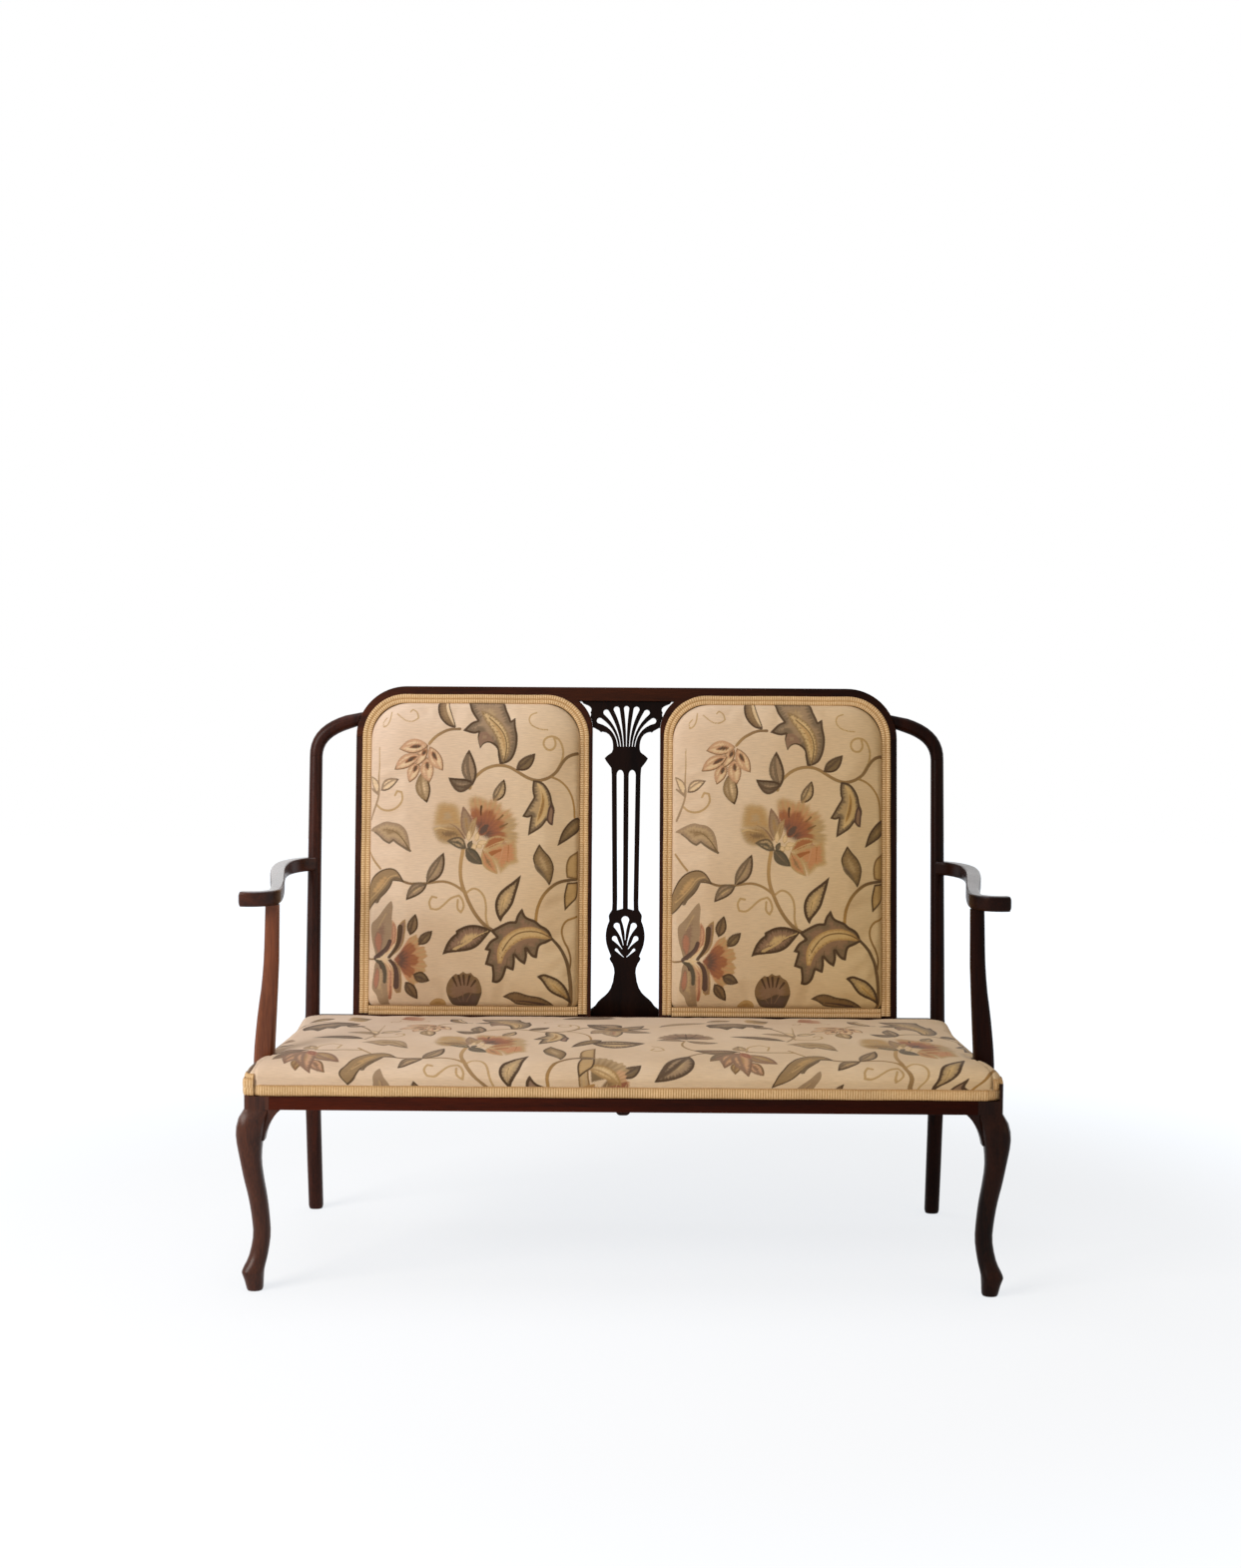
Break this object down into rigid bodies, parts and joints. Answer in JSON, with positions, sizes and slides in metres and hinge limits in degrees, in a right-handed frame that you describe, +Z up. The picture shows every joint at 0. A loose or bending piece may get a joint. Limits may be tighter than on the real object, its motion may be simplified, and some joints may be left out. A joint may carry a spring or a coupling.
{
  "type": "cabriole sofa",
  "caption": "Small open-arm settee with cabriole front legs, a pierced centre splat, stuffed back panels and a stuffed-over seat.",
  "frame": {"origin": "on the floor, midway between the sides and midway between the frontmost and rearmost points", "axes": "+X to the right of someone facing the front, +Y towards the back, +Z up"},
  "size_m": [1.2988, 0.576, 0.9998],
  "materials": {
    "mahogany": "french polished, dark red-brown",
    "beech": "planed, unfinished",
    "cover_cloth": "woven floral furnishing cloth",
    "gimp_braid": "woven upholstery gimp",
    "back_lining": "plain woven cotton",
    "jute_webbing": "herringbone webbing",
    "hessian": "open plain weave",
    "stuffing": "horsehair under wadding",
    "steel_screw": "dull bright steel"
  },
  "bodies": {
    "root": {"front_leg_left": "mahogany", "front_leg_right": "mahogany", "front_ear_left": "mahogany", "front_ear_right": "mahogany", "side_ear_left": "mahogany", "side_ear_right": "mahogany", "front_rail": "mahogany", "side_rail_left": "mahogany", "side_rail_right": "mahogany", "rear_rail": "mahogany", "centre_rail": "mahogany", "front_corner_blocks": "beech", "rear_corner_blocks": "beech", "corner_block_screws": "steel_screw", "rear_post_left": "mahogany", "rear_post_right": "mahogany", "shoulder_left": "mahogany", "shoulder_right": "mahogany", "crest_rail": "mahogany", "outer_stile_left": "mahogany", "outer_stile_right": "mahogany", "inner_stile_left": "mahogany", "inner_stile_right": "mahogany", "panel_rail_left": "mahogany", "panel_rail_right": "mahogany", "back_lower_rail": "mahogany", "frame_dowels": "beech", "splat": "mahogany", "arm_left": "mahogany", "arm_right": "mahogany", "arm_support_left": "mahogany", "arm_support_right": "mahogany", "support_screws": "steel_screw", "seat_webbing": "jute_webbing", "seat_hessian": "hessian", "seat_pad": "stuffing", "seat_cover": "cover_cloth", "seat_gimp": "gimp_braid", "rear_gimp": "gimp_braid", "back_webbing_left": "jute_webbing", "back_webbing_right": "jute_webbing", "back_hessian_left": "hessian", "back_hessian_right": "hessian", "back_pad_left": "stuffing", "back_pad_right": "stuffing", "back_cover_left": "cover_cloth", "back_cover_right": "cover_cloth", "back_gimp_left": "gimp_braid", "back_gimp_right": "gimp_braid", "outside_back_left": "back_lining", "outside_back_right": "back_lining", "outside_gimp_left": "gimp_braid", "outside_gimp_right": "gimp_braid"}
  },
  "joints": []
}
